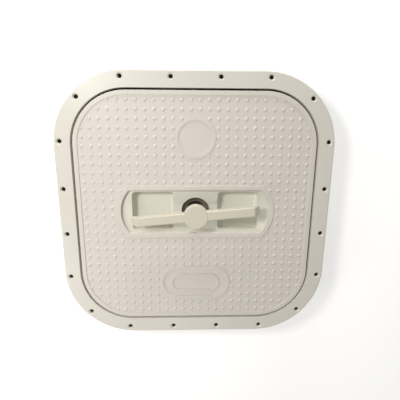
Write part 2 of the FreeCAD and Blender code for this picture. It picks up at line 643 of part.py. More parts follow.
# Raised outlines on the tread field: ridge round the recess, a ring and two long outlines.
ridge = sketch_on(lid, "ridge", FIELD)
add_recess_outline(ridge, "0")
add_recess_outline(ridge, "sizes.ridge_width")
extrude("Pad", ridge, "sizes.ridge_rise")
ring = sketch_on(lid, "ring", FIELD)
add_circle(ring, "0", "sizes.ring_centre", "sizes.ring_radius")
add_circle(ring, "0", "sizes.ring_centre", "sizes.ring_radius - sizes.ring_width")
extrude("Pad", ring, "sizes.ring_rise")
for outline_name, length, width, border in (
        ("long_panel", "sizes.panel_length", "sizes.panel_width", "sizes.panel_border"),
        ("inlay", "sizes.inlay_length", "sizes.inlay_width", "sizes.inlay_border")):
    outline = sketch_on(lid, outline_name, FIELD)
    add_stadium(outline, "-sizes.panel_centre", length, width)
    add_stadium(outline, "-sizes.panel_centre", f"{length} - 2 * {border}", f"{width} - 2 * {border}")
    extrude("Pad", outline, "sizes.panel_rise")

# Screw holes for the pan, blind in the thick ridge.
PAN_SCREW_LINE = "(sizes.recess_half + sizes.pan_flange_width / 2)"
PAN_SCREW_END = "(sizes.recess_centre + sizes.recess_end + sizes.pan_flange_width / 2)"
PAN_SCREW_PLACES = [(f"{step} * sizes.pan_screw_pitch", f"{side}{PAN_SCREW_LINE}")
                    for step in (-1.5, -0.5, 0.5, 1.5) for side in ("", "-")]
PAN_SCREW_PLACES += [(PAN_SCREW_END, "0"), (f"-{PAN_SCREW_END}", "0")]
lid_taps = sketch_on(lid, "pan_screw_taps", LID_UNDER)
for x, y in PAN_SCREW_PLACES:
    add_circle(lid_taps, x, y, "sizes.pan_screw / 2")
extrude("Pocket", lid_taps, "sizes.pan_screw_bite + sizes.stop_gap", reverse=True)
doc.recompute()
lid_edges = level_edges(lid.Tip, "sizes.flange_thick",
                        lambda middle, edge: max(abs(middle.x), abs(middle.y)) > value(f"{LID_HALF} - 1")
                        or abs(middle.x) + abs(middle.y) > value(f"2 * ({LID_HALF} - 24)"))
lid_round = round_edges(lid, lid.Tip, lid_edges, "sizes.lid_round")
doc.recompute()
ridge_edges = level_edges(lid_round, RIDGE_TOP)
round_edges(lid, lid_round, ridge_edges, "sizes.relief_round")

# Rubber seal in the lid's groove; it sits on the frame's sealing rib.
seal = new_body("lid_seal")
seal_outline = sketch_on(seal, "seal_section", COAMING_TOP)
add_well_outline(seal_outline, SEAL_OUTER)
add_well_outline(seal_outline, SEAL_INNER)
extrude("Pad", seal_outline, f"{LID_UNDER} - {COAMING_TOP}")

# The pan is a tray under the recess: two finger pockets, a slot for the handle and a cup.
pan = new_body("handle_pan")
pan_flange = sketch_on(pan, "pan_flange", PAN_TOP)
add_recess_outline(pan_flange, "sizes.pan_flange_width")
extrude("Pad", pan_flange, "sizes.pan_flange_thick", reverse=True)

pocket_shell = sketch_on(pan, "pocket_shell", PAN_FLANGE_UNDER)
add_rounded_rectangle(pocket_shell, "sizes.pocket_near - sizes.pan_wall", "sizes.pocket_far + sizes.pan_wall",
                      "-sizes.pocket_half - sizes.pan_wall", "sizes.pocket_half + sizes.pan_wall",
                      "sizes.pocket_corner + sizes.pan_wall")
shell_pad = extrude("Pad", pocket_shell, f"{PAN_FLANGE_UNDER} - {PAN_UNDER}", reverse=True)
mirrored(pan, shell_pad, "YZ_Plane")

cup_shell = sketch_on(pan, "cup_shell", PAN_FLANGE_UNDER)
add_circle(cup_shell, "0", "0", "sizes.cup_radius + sizes.pan_wall")
extrude("Pad", cup_shell, f"{PAN_FLANGE_UNDER} - {CUP_FLOOR} + sizes.pan_wall", reverse=True)
boss = sketch_on(pan, "boss", CUP_FLOOR)
add_circle(boss, "0", "0", BOSS_RADIUS)
extrude("Pad", boss, f"{CUP_FLOOR} - {BOSS_UNDER}", reverse=True)
slot_shell = sketch_on(pan, "slot_shell", PAN_FLANGE_UNDER)
add_polygon(slot_shell, [
    ("-sizes.pocket_near", "-sizes.slot_half - sizes.pan_wall"),
    ("sizes.pocket_near", "-sizes.slot_half - sizes.pan_wall"),
    ("sizes.pocket_near", "sizes.slot_half + sizes.pan_wall"),
    ("-sizes.pocket_near", "sizes.slot_half + sizes.pan_wall"),
])
extrude("Pad", slot_shell, "sizes.slot_depth", reverse=True)
webs = sketch_on(pan, "boss_webs", PAN_FLANGE_UNDER)
add_polygon(webs, [
    (f"{BOSS_RADIUS} - sizes.pan_wall", "-sizes.web_thick / 2"),
    ("sizes.pocket_near - sizes.pan_wall / 2", "-sizes.web_thick / 2"),
    ("sizes.pocket_near - sizes.pan_wall / 2", "sizes.web_thick / 2"),
    (f"{BOSS_RADIUS} - sizes.pan_wall", "sizes.web_thick / 2"),
])
web_pad = extrude("Pad", webs, f"{PAN_FLANGE_UNDER} - {PAN_UNDER}", reverse=True)
polar_pattern(pan, web_pad, 4)

slot = sketch_on(pan, "slot", PAN_TOP)
add_polygon(slot, [
    ("-sizes.pocket_near - 1", "-sizes.slot_half"),
    ("sizes.pocket_near + 1", "-sizes.slot_half"),
    ("sizes.pocket_near + 1", "sizes.slot_half"),
    ("-sizes.pocket_near - 1", "sizes.slot_half"),
])
extrude("Pocket", slot, "sizes.slot_depth")
pocket = sketch_on(pan, "finger_pocket", PAN_TOP)
add_rounded_rectangle(pocket, "sizes.pocket_near", "sizes.pocket_far",
                      "-sizes.pocket_half", "sizes.pocket_half", "sizes.pocket_corner")
pocket_cut = extrude("Pocket", pocket, "sizes.pocket_depth")
mirrored(pan, pocket_cut, "YZ_Plane")
cup = sketch_on(pan, "cup", PAN_TOP)
add_circle(cup, "0", "0", "sizes.cup_radius")
extrude("Pocket", cup, "sizes.cup_depth")
bush_bore = sketch_on(pan, "bush_bore", PAN_TOP)
add_circle(bush_bore, "0", "0", f"{BUSH_RADIUS} + sizes.running_gap")
extrude("Pocket", bush_bore, f"{PAN_TOP} - {BOSS_UNDER}")
pan_holes = sketch_on(pan, "pan_screw_holes", PAN_TOP)
for x, y in PAN_SCREW_PLACES:
    add_circle(pan_holes, x, y, "sizes.pan_screw / 2 + sizes.stop_gap")
extrude("Pocket", pan_holes, "sizes.pan_flange_thick")
doc.recompute()


def tab_corner(edge):
    """Upright edge where a side of the slot meets a pocket."""
    box = edge.BoundBox
    return (box.XLength < 1e-4 and box.YLength < 1e-4
            and abs(abs(box.XMin) - value("sizes.pocket_near")) < 1e-4
            and abs(abs(box.YMin) - value("sizes.slot_half")) < 1e-4)


tab_edges = [f"Edge{number}" for number, edge in enumerate(pan.Tip.Shape.Edges, start=1) if tab_corner(edge)]
tabs = round_edges(pan, pan.Tip, tab_edges, "sizes.tab_round")
doc.recompute()
floor_edges = level_edges(tabs, f"{PAN_TOP} - sizes.pocket_depth")
round_edges(pan, tabs, floor_edges, "sizes.floor_round")
doc.recompute()

# Flat gasket between the pan's flange and the underside of the lid.
gasket = new_body("pan_gasket")
gasket_outline = sketch_on(gasket, "gasket_outline", PAN_TOP)
add_recess_outline(gasket_outline, "sizes.pan_flange_width")
add_recess_outline(gasket_outline, "sizes.stop_gap")
extrude("Pad", gasket_outline, "sizes.pan_gasket_thick")
gasket_holes = sketch_on(gasket, "gasket_holes", LID_UNDER)
for x, y in PAN_SCREW_PLACES:
    add_circle(gasket_holes, x, y, "sizes.pan_screw / 2 + sizes.stop_gap")
extrude("Pocket", gasket_holes, "sizes.pan_gasket_thick")

# Ten cheese-head screws hold the pan from below, into the ridge of the lid.
PAN_SCREW_HEAD_UNDER = f"({PAN_FLANGE_UNDER} - sizes.pan_screw_head_height)"
screw_solids = []
for x, y in PAN_SCREW_PLACES:
    head = Part.makeCylinder(value("sizes.pan_screw_head / 2"), value("sizes.pan_screw_head_height"),
                             Vector(value(x), value(y), value(PAN_SCREW_HEAD_UNDER)))
    shank = Part.makeCylinder(value("sizes.pan_screw / 2"),
                              value(f"{LID_UNDER} + sizes.pan_screw_bite - {PAN_FLANGE_UNDER}"),
                              Vector(value(x), value(y), value(PAN_FLANGE_UNDER)))
    screw_solids.append(head.fuse(shank).removeSplitter())
pan_screws = doc.addObject("Part::Feature", "pan_screws")
pan_screws.Label = "pan_screws"
pan_screws.Shape = Part.makeCompound(screw_solids)
pan_screws.Placement = FreeCAD.Placement()
written_parts.append(pan_screws)

# Bush pressed into the pan's boss from below; its flange takes the pull of the bar.
bush_bore_radius = "(sizes.sleeve_radius + sizes.running_gap)"
turned_body("spindle_bush", [
    (bush_bore_radius, BUSH_UNDER),
    (BOSS_RADIUS, BUSH_UNDER),
    (BOSS_RADIUS, BOSS_UNDER),
    (BUSH_RADIUS, BOSS_UNDER),
    (BUSH_RADIUS, f"{CUP_FLOOR} - sizes.stop_gap"),
    (bush_bore_radius, f"{CUP_FLOOR} - sizes.stop_gap"),
])
add_plain_ring("flange_washer", CUP_FLOOR, "sizes.flange_washer_thick",
               f"{BUSH_RADIUS} - sizes.bush_wall / 2", f"{SLEEVE_FLANGE_RADIUS} - sizes.catch_gap")

# Sleeve that turns in the bush. The shaft slides in its round guide, the drive block in its
# square broach, and the locking bar sits on the two flats outside.
sleeve = new_body("lock_sleeve")
SLEEVE_RING = f"({SLEEVE_TOP} - sizes.ring_drop)"
SHAFT_RING = f"({GUIDE_END} + sizes.guide_length / 2)"
RING_GROOVE = "(sizes.ring_section + sizes.catch_gap)"
sleeve_profile = sketch_on(sleeve, "sleeve_profile", plane="XZ_Plane")
add_polygon(sleeve_profile, [
    ("sizes.shaft_radius + sizes.slide_gap", GUIDE_END),
    ("sizes.shaft_radius + sizes.slide_gap", f"{SHAFT_RING} - {RING_GROOVE}"),
    ("sizes.shaft_radius + 2 * sizes.ring_section + sizes.slide_gap", f"{SHAFT_RING} - {RING_GROOVE}"),
    ("sizes.shaft_radius + 2 * sizes.ring_section + sizes.slide_gap", f"{SHAFT_RING} + {RING_GROOVE}"),
    ("sizes.shaft_radius + sizes.slide_gap", f"{SHAFT_RING} + {RING_GROOVE}"),
    ("sizes.shaft_radius + sizes.slide_gap", WIPER_SEAT),
    ("sizes.wiper_radius + sizes.slide_gap", WIPER_SEAT),
    ("sizes.wiper_radius + sizes.slide_gap", SLEEVE_TOP),
    (SLEEVE_FLANGE_RADIUS, SLEEVE_TOP),
    (SLEEVE_FLANGE_RADIUS, SLEEVE_FLANGE_UNDER),
    ("sizes.sleeve_radius", SLEEVE_FLANGE_UNDER),
    ("sizes.sleeve_radius", f"{SLEEVE_RING} + {RING_GROOVE}"),
    ("sizes.sleeve_radius - 2 * sizes.ring_section", f"{SLEEVE_RING} + {RING_GROOVE}"),
    ("sizes.sleeve_radius - 2 * sizes.ring_section", f"{SLEEVE_RING} - {RING_GROOVE}"),
    ("sizes.sleeve_radius", f"{SLEEVE_RING} - {RING_GROOVE}"),
    ("sizes.sleeve_radius", BAR_UNDER),
    ("sizes.thread_radius", BAR_UNDER),
    ("sizes.thread_radius", SLEEVE_UNDER),
    ("sizes.broach_half / 2", SLEEVE_UNDER),
    ("sizes.broach_half / 2", GUIDE_END),
])
revolve(sleeve_profile)
broach = sketch_on(sleeve, "broach", GUIDE_END)
add_square(broach, "sizes.broach_half", "sizes.broach_corner")
extrude("Pocket", broach, f"{GUIDE_END} - {SLEEVE_UNDER}")
flats = sketch_on(sleeve, "drive_flats", BAR_TOP)
add_square(flats, "sizes.sleeve_radius + 1", "1")
add_rounded_rectangle(flats, "-sizes.drive_flat", "sizes.drive_flat",
                      "-sizes.sleeve_radius - 0.5", "sizes.sleeve_radius + 0.5", "0.4")
extrude("Pocket", flats, "sizes.bar_depth")

turned_body("shaft_wiper", [
    ("sizes.shaft_radius + sizes.catch_gap", f"{WIPER_SEAT} + sizes.wiper_depth / 2"),
    ("sizes.shaft_radius + 2 * sizes.catch_gap", WIPER_SEAT),
    ("sizes.wiper_radius", WIPER_SEAT),
    ("sizes.wiper_radius", f"{SLEEVE_TOP} - sizes.catch_gap"),
    ("sizes.shaft_radius + 2 * sizes.catch_gap", f"{SLEEVE_TOP} - sizes.catch_gap"),
])
add_o_ring("shaft_o_ring", SHAFT_RING, "sizes.shaft_radius + sizes.slide_gap + sizes.ring_section",
           "sizes.ring_section - sizes.slide_gap / 2")
add_o_ring("sleeve_o_ring", SLEEVE_RING, "sizes.sleeve_radius - sizes.ring_section",
           "sizes.ring_section")
add_plain_ring("thrust_washer", BAR_TOP, "sizes.thrust_washer_thick",
               "sizes.sleeve_radius + sizes.running_gap", BOSS_RADIUS)

# Locking bar: a cranked moulding, hollow underneath, that ends in two tongues.
bar = new_body("locking_bar")
bar_side = sketch_on(bar, "bar_side", plane="XZ_Plane")
add_polygon(bar_side, [
    ("-sizes.crank_start", BAR_UNDER),
    ("sizes.crank_start", BAR_UNDER),
    ("sizes.crank_end", TONGUE_UNDER),
    (BAR_REACH, TONGUE_UNDER),
    (BAR_REACH, TONGUE_TOP),
    ("sizes.crank_end", TONGUE_TOP),
    ("sizes.crank_start", BAR_TOP),
    ("-sizes.crank_start", BAR_TOP),
    ("-sizes.crank_end", TONGUE_TOP),
    (f"-{BAR_REACH}", TONGUE_TOP),
    (f"-{BAR_REACH}", TONGUE_UNDER),
    ("-sizes.crank_end", TONGUE_UNDER),
])
extrude("Pad", bar_side, "2 * sizes.bar_hub_radius + 4", symmetric=True)
bar_plan = sketch_on(bar, "bar_plan", TONGUE_TOP)
add_rounded_rectangle(bar_plan, f"-{BAR_REACH} - 2", f"{BAR_REACH} + 2",
                      "-sizes.bar_hub_radius - 4", "sizes.bar_hub_radius + 4", "1")
add_polygon(bar_plan, [
    ("sizes.bar_hub_radius * 0.5", "-sizes.bar_hub_radius"),
    ("sizes.bar_hub_radius", "-sizes.bar_root_half"),
    ("sizes.crank_end", "-sizes.tongue_half"),
    (f"{BAR_REACH} + 1", "-sizes.tongue_half"),
    (f"{BAR_REACH} + 1", "sizes.tongue_half"),
    ("sizes.crank_end", "sizes.tongue_half"),
    ("sizes.bar_hub_radius", "sizes.bar_root_half"),
    ("sizes.bar_hub_radius * 0.5", "sizes.bar_hub_radius"),
    ("-sizes.bar_hub_radius * 0.5", "sizes.bar_hub_radius"),
    ("-sizes.bar_hub_radius", "sizes.bar_root_half"),
    ("-sizes.crank_end", "sizes.tongue_half"),
    (f"-{BAR_REACH} - 1", "sizes.tongue_half"),
    (f"-{BAR_REACH} - 1", "-sizes.tongue_half"),
    ("-sizes.crank_end", "-sizes.tongue_half"),
    ("-sizes.bar_hub_radius", "-sizes.bar_root_half"),
    ("-sizes.bar_hub_radius * 0.5", "-sizes.bar_hub_radius"),
])
extrude("Pocket", bar_plan, f"{TONGUE_TOP} - {BAR_UNDER}")
bar_hole = sketch_on(bar, "bar_hole", BAR_TOP)
add_circle(bar_hole, "0", "0", "sizes.sleeve_radius + sizes.running_gap")
extrude("Pocket", bar_hole, "sizes.bar_depth")
# Two solid segments inside the round hole match the flats of the sleeve.
drive_keys = sketch_on(bar, "drive_keys", BAR_TOP)
for side in ("", "-"):
    near = f"{side}(sizes.drive_flat + sizes.running_gap)"
    far = f"{side}(sizes.sleeve_radius + 1)"
    add_polygon(drive_keys, [
        (near, "-sizes.sleeve_radius / 2 - 1"),
        (far, "-sizes.sleeve_radius / 2 - 1"),
        (far, "sizes.sleeve_radius / 2 + 1"),
        (near, "sizes.sleeve_radius / 2 + 1"),
    ])
extrude("Pad", drive_keys, "sizes.bar_depth", reverse=True)
# Hollows: two cells under each arm, cut upwards to a level web.
ARM_SPAN = "(sizes.crank_end - sizes.crank_start)"
ARM_SLOPE = f"(({TONGUE_TOP} - {BAR_TOP}) / {ARM_SPAN})"
cells = sketch_on(bar, "bar_cells", plane="XZ_Plane")
for start_share, end_share in ((0.08, 0.5), (0.54, 0.96)):
    start = f"(sizes.crank_start + {start_share} * {ARM_SPAN})"
    end = f"(sizes.crank_start + {end_share} * {ARM_SPAN})"
    for side in ("", "-"):
        add_polygon(cells, [
            (f"{side}{start}", f"{BAR_UNDER} - 1"),
            (f"{side}{end}", f"{BAR_UNDER} - 1"),
            (f"{side}{end}", f"{BAR_TOP} + {ARM_SLOPE} * ({end} - sizes.crank_start) - sizes.bar_web"),
            (f"{side}{start}", f"{BAR_TOP} + {ARM_SLOPE} * ({start} - sizes.crank_start) - sizes.bar_web"),
        ])
extrude("Pocket", cells, "2 * sizes.bar_core_half", symmetric=True)

# Hexagonal ring nut under the bar.
nut_blank = add_primitive("Prism", "ring_nut_blank", NUT_UNDER, Circumradius="sizes.nut_radius",
                          Height="sizes.nut_height")
nut_bore = add_primitive("Cylinder", "ring_nut_bore", NUT_UNDER,
                         Radius="sizes.thread_radius + sizes.running_gap", Height="sizes.nut_height")
nut = doc.addObject("Part::Cut", "ring_nut")
nut.Base = nut_blank
nut.Tool = nut_bore
nut.Label = "ring_nut"
written_parts.append(nut)

# T-handle, drawn up: two wings with sloping tips and a hub, hollow underneath.
handle = new_body("t_handle")
wings = sketch_on(handle, "wings", plane="XZ_Plane")
add_polygon(wings, [
    ("-sizes.wing_reach", WING_UNDER),
    ("sizes.wing_reach", WING_UNDER),
    ("sizes.wing_reach - sizes.tip_slope", WING_TOP),
    ("sizes.tip_slope - sizes.wing_reach", WING_TOP),
])
wing_pad = extrude("Pad", wings, "2 * sizes.wing_half", symmetric=True)
doc.recompute()
tip_edges = level_edges(wing_pad, WING_TOP,
                        lambda middle, edge: abs(middle.y) < value("sizes.wing_half / 2"))
tips = round_edges(handle, wing_pad, tip_edges, "sizes.tip_round")
doc.recompute()
# The edges of the two sides are rounded all along, over the tips and down to the foot.
side_edges = [f"Edge{number}" for number, edge in enumerate(tips.Shape.Edges, start=1)
              if edge.CenterOfMass.z > value(f"{WING_UNDER} + sizes.wing_height / 10")
              and edge.BoundBox.YLength < value("sizes.wing_half")]
round_edges(handle, tips, side_edges, "sizes.wing_round")
hub = sketch_on(handle, "hub", WING_UNDER)
add_circle(hub, "0", "0", "sizes.hub_radius")
extrude("Pad", hub, f"{CAP_UNDER} - {WING_UNDER}")
cap_seat = sketch_on(handle, "cap_seat", CAP_UNDER)
add_circle(cap_seat, "0", "0", "sizes.hub_radius + sizes.running_gap")
extrude("Pocket", cap_seat, "sizes.cap_thick", reverse=True)
hub_bore = sketch_on(handle, "hub_bore", WING_UNDER)
add_circle(hub_bore, "0", "0", "sizes.shaft_radius + sizes.running_gap")
extrude("Pocket", hub_bore, f"{SHAFT_TOP} - {WING_UNDER}", reverse=True)
screw_way = sketch_on(handle, "screw_way", CAP_UNDER)
add_circle(screw_way, "0", "0", "sizes.shaft_screw / 2 + sizes.running_gap")
extrude("Pocket", screw_way, f"{CAP_UNDER} - {SHAFT_TOP}")
head_seat = sketch_on(handle, "head_seat", CAP_UNDER)
add_circle(head_seat, "0", "0", "sizes.shaft_screw_head / 2 + sizes.running_gap")
extrude("Pocket", head_seat, "sizes.shaft_screw_head_height")
cap_groove = sketch_on(handle, "cap_groove", CAP_UNDER)
add_circle(cap_groove, "0", "0", "sizes.cap_rib_radius + sizes.cap_rib / 2 + sizes.running_gap")
add_circle(cap_groove, "0", "0", "sizes.cap_rib_radius - sizes.cap_rib / 2 - sizes.running_gap")
extrude("Pocket", cap_groove, "sizes.cap_rib_depth + sizes.stop_gap")
wing_cells = sketch_on(handle, "wing_cells", WING_UNDER)
CELL_SPAN = "(sizes.wing_reach - sizes.tip_slope - sizes.hub_radius)"
for start_share, end_share in ((0.03, 0.31), (0.35, 0.64), (0.68, 0.97)):
    for side in ("", "-"):
        start = f"{side}(sizes.hub_radius + {start_share} * {CELL_SPAN})"
        end = f"{side}(sizes.hub_radius + {end_share} * {CELL_SPAN})"
        low, high = (start, end) if side == "" else (end, start)
        add_rounded_rectangle(wing_cells, low, high, "-sizes.wing_half + sizes.wing_shell",
                              "sizes.wing_half - sizes.wing_shell", "1")
extrude("Pocket", wing_cells, "sizes.wing_height - sizes.wing_shell", reverse=True)
hub_hollow = sketch_on(handle, "hub_hollow", WING_UNDER)
add_circle(hub_hollow, "0", "0", "sizes.hub_radius - sizes.wing_shell")
add_circle(hub_hollow, "0", "0", "sizes.shaft_radius + sizes.wing_shell")
extrude("Pocket", hub_hollow, f"{SHAFT_TOP} - {WING_UNDER} - sizes.wing_shell", reverse=True)

# Cap over the hub's screw, seated by a round rib in a groove of the hub.
cap = new_body("hub_cap")
cap_rib = sketch_on(cap, "cap_rib", f"{CAP_UNDER} - sizes.cap_rib_depth")
add_circle(cap_rib, "0", "0", "sizes.cap_rib_radius + sizes.cap_rib / 2")
add_circle(cap_rib, "0", "0", "sizes.cap_rib_radius - sizes.cap_rib / 2")
extrude("Pad", cap_rib, "sizes.cap_rib_depth + sizes.cap_thick / 2")
cap_disc = sketch_on(cap, "cap_disc", CAP_UNDER)
add_circle(cap_disc, "0", "0", "sizes.hub_radius")
cap_pad = extrude("Pad", cap_disc, "sizes.cap_thick")
doc.recompute()
round_edges(cap, cap_pad, level_edges(cap_pad, CAP_TOP), "sizes.cap_round")

turned_body("handle_shaft", [
    ("sizes.shaft_screw / 2 + sizes.running_gap", SHAFT_END),
    ("sizes.shaft_radius", SHAFT_END),
    ("sizes.shaft_radius", SHAFT_TOP),
    ("sizes.shaft_screw / 2 + sizes.running_gap", SHAFT_TOP),
])

HEAD_TOP = f"({SHAFT_TOP} + sizes.hub_web + sizes.shaft_screw_head_height)"
turned_body("hub_screw", [
    ("0", f"{SHAFT_TOP} - sizes.shaft_screw_bite"),
    ("sizes.shaft_screw / 2", f"{SHAFT_TOP} - sizes.shaft_screw_bite"),
    ("sizes.shaft_screw / 2", f"{SHAFT_TOP} + sizes.hub_web"),
    ("sizes.shaft_screw_head / 2", f"{SHAFT_TOP} + sizes.hub_web"),
    ("sizes.shaft_screw_head / 2", HEAD_TOP),
    ("0", HEAD_TOP),
])

# Square block under the shaft: it turns the sleeve and stops the handle at the top.
block = new_body("drive_block")
block_outline = sketch_on(block, "block_outline", SHAFT_END)
add_square(block_outline, "sizes.block_half", "sizes.block_corner")
add_circle(block_outline, "0", "0", "sizes.shaft_screw / 2 + sizes.running_gap")
extrude("Pad", block_outline, "sizes.block_height", reverse=True)

turned_body("block_screw", [
    ("0", f"{BLOCK_UNDER} - sizes.shaft_screw_head_height"),
    ("sizes.shaft_screw_head / 2", f"{BLOCK_UNDER} - sizes.shaft_screw_head_height"),
    ("sizes.shaft_screw_head / 2", BLOCK_UNDER),
    ("sizes.shaft_screw / 2", BLOCK_UNDER),
    ("sizes.shaft_screw / 2", f"{SHAFT_END} + sizes.shaft_screw_bite"),
    ("0", f"{SHAFT_END} + sizes.shaft_screw_bite"),
])

# Handle, sleeve and bar stand a few degrees past the locked position.
TURNED_PARTS = ["lock_sleeve", "locking_bar", "ring_nut", "t_handle", "hub_cap", "handle_shaft",
                "hub_screw", "drive_block", "block_screw"]
for name in TURNED_PARTS:
    doc.getObject(name).setExpression("Placement.Rotation.Angle", "sizes.rest_angle")
doc.recompute()

for item in doc.Objects:
    if "Invalid" in item.State or "Error" in item.State:
        raise RuntimeError(f"{item.Name} failed: {item.State}")
    if item.TypeId == "Sketcher::SketchObject" and not item.FullyConstrained:
        raise RuntimeError(f"sketch {item.Name} is not fully constrained")
for item in written_parts:
    if item.Shape.isNull() or not item.Shape.isValid():
        raise RuntimeError(f"{item.Label} has no valid shape")
    if item.Label != "pan_screws" and len(item.Shape.Solids) != 1:
        raise RuntimeError(f"{item.Label} is not one solid but {len(item.Shape.Solids)}")

os.makedirs("parts", exist_ok=True)
for item in written_parts:
    item.Shape.exportStep(f"parts/{item.Label}.step")
    print(f"{item.Label}: {item.Shape.Volume / 1000:.2f} cm3")
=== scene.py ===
import math

import bpy
import numpy as np
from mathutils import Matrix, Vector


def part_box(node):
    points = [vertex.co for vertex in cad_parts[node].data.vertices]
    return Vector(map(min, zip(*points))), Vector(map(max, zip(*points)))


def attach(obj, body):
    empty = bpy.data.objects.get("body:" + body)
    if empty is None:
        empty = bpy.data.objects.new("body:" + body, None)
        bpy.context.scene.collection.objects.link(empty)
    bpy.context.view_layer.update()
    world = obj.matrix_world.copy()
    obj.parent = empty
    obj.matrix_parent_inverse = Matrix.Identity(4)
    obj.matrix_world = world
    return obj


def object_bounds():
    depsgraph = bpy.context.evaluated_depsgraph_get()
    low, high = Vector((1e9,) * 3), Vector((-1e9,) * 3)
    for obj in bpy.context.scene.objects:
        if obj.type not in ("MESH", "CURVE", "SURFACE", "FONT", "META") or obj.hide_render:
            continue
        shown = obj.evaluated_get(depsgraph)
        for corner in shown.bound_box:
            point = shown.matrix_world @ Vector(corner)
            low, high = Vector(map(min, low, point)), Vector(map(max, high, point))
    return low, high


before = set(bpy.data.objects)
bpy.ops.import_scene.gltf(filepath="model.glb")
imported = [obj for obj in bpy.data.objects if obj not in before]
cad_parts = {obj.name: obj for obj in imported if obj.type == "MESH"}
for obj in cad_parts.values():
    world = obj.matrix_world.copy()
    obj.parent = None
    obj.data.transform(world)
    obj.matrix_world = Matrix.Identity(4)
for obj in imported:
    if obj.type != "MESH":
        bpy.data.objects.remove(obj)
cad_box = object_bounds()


# Mounting frame: a one-piece moulding in white ASA with a flange for the deck screws and a deep neck.
# The tool was spark-eroded, so its faces have a fine even grain and a soft sheen instead of a mirror.
MM = 0.001


def linear(hex_colour):
    """sRGB hex to linear RGBA: c / 12.92 under 0.04045, else ((c + 0.055) / 1.055) to the power 2.4."""
    channels = [int(hex_colour[i:i + 2], 16) / 255 for i in (1, 3, 5)]
    bright = [c / 12.92 if c <= 0.04045 else ((c + 0.055) / 1.055) ** 2.4 for c in channels]
    return (*bright, 1.0)


def add_node(tree, kind, settings=None, inputs=None):
    """New node with its settings; an input is a number or colour, or another node's output to link."""
    node = tree.nodes.new(kind)
    for name, setting in (settings or {}).items():
        setattr(node, name, setting)
    for name, given in (inputs or {}).items():
        if isinstance(given, bpy.types.NodeSocket):
            tree.links.new(given, node.inputs[name])
        else:
            node.inputs[name].default_value = given
    return node


def new_material(name):
    """Empty material, its node tree, and the Object coordinates that its patterns read."""
    material = bpy.data.materials.new(name)
    material.use_nodes = True
    tree = material.node_tree
    tree.nodes.clear()
    return material, tree, add_node(tree, "ShaderNodeTexCoord").outputs["Object"]


def lumps(tree, place, size, detail, roughness=0.5):
    """Noise from 0 to 1 whose lumps are about one size across, so its scale is one over that size."""
    return add_node(tree, "ShaderNodeTexNoise", inputs={
        "Vector": place, "Scale": 1 / size, "Detail": detail, "Roughness": roughness}).outputs["Fac"]


def between(tree, factor, colour, shade):
    """Colour that runs from the first to the second as the factor runs from 0 to 1."""
    return add_node(tree, "ShaderNodeMix", {"data_type": "RGBA"}, {
        "Factor": factor, "A": linear(colour), "B": linear(shade)}).outputs["Result"]


def stretched_range(tree, value, low, high, to_low=0.0, to_high=1.0):
    """Straight line through two points: low becomes to_low and high becomes to_high, and it stops there."""
    return add_node(tree, "ShaderNodeMapRange", inputs={
        "Value": value, "From Min": low, "From Max": high, "To Min": to_low,
        "To Max": to_high}).outputs["Result"]


def relief(tree, height, distance, strength, under=None):
    """Bump that lifts the surface by height times distance, weighed by strength, over the bump under it."""
    inputs = {"Height": height, "Distance": distance, "Strength": strength}
    if under is not None:
        inputs["Normal"] = under
    return add_node(tree, "ShaderNodeBump", inputs=inputs).outputs["Normal"]


def close_surface(tree, inputs):
    """The principled shader with these inputs is the material's surface."""
    shader = add_node(tree, "ShaderNodeBsdfPrincipled", inputs=inputs)
    add_node(tree, "ShaderNodeOutputMaterial", inputs={"Surface": shader.outputs["BSDF"]})


def finish_nodes(material, *node_names):
    """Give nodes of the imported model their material, in place of what they had."""
    for node_name in node_names:
        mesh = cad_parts[node_name].data
        mesh.materials.clear()
        mesh.materials.append(material)


DRIFT_SIZE = 70 * MM
SINK_SIZE = 38 * MM
SINK_DEPTH = 0.25 * MM


def moulded_asa(name, colour, shade, grain_size, grain_height, gloss):
    """Injection-moulded ASA: a dielectric of IOR 1.5 in a flat pale colour.

    The colour drifts slightly where the melt cooled unevenly, spark grain breaks up the reflections,
    and sink over the ribs makes the broad faces very slightly wavy.
    """
    material, tree, place = new_material(name)
    drift = lumps(tree, place, DRIFT_SIZE, 3.0, 0.45)
    sink = relief(tree, lumps(tree, place, SINK_SIZE, 0.0), SINK_DEPTH, 0.35)
    grain = lumps(tree, place, grain_size, 2.0, 0.6)
    close_surface(tree, {
        "Base Color": between(tree, drift, colour, shade),
        "Roughness": stretched_range(tree, drift, 0.3, 0.7, gloss - 0.04, gloss + 0.05),
        "IOR": 1.5,
        "Normal": relief(tree, grain, grain_height, 0.6, sink)})
    return material


FRAME_WHITE = "#DFDBD0"
FRAME_WHITE_SHADE = "#D9D4C8"
frame_asa = moulded_asa("frame_moulded_asa", FRAME_WHITE, FRAME_WHITE_SHADE, 1.1 * MM, 0.05 * MM, 0.36)
finish_nodes(frame_asa, "mounting_frame")

# Lid: one moulding in the same white ASA, with a tread of round studs on a square grid. The studs are
# part of the moulding. They stop short of the raised outlines and run up to the step of the flat rim.
LID_WHITE = "#DCD5CC"
LID_WHITE_SHADE = "#D7D0C6"
lid_asa = moulded_asa("lid_moulded_asa", LID_WHITE, LID_WHITE_SHADE, 1.1 * MM, 0.05 * MM, 0.46)
finish_nodes(lid_asa, "lid_panel")

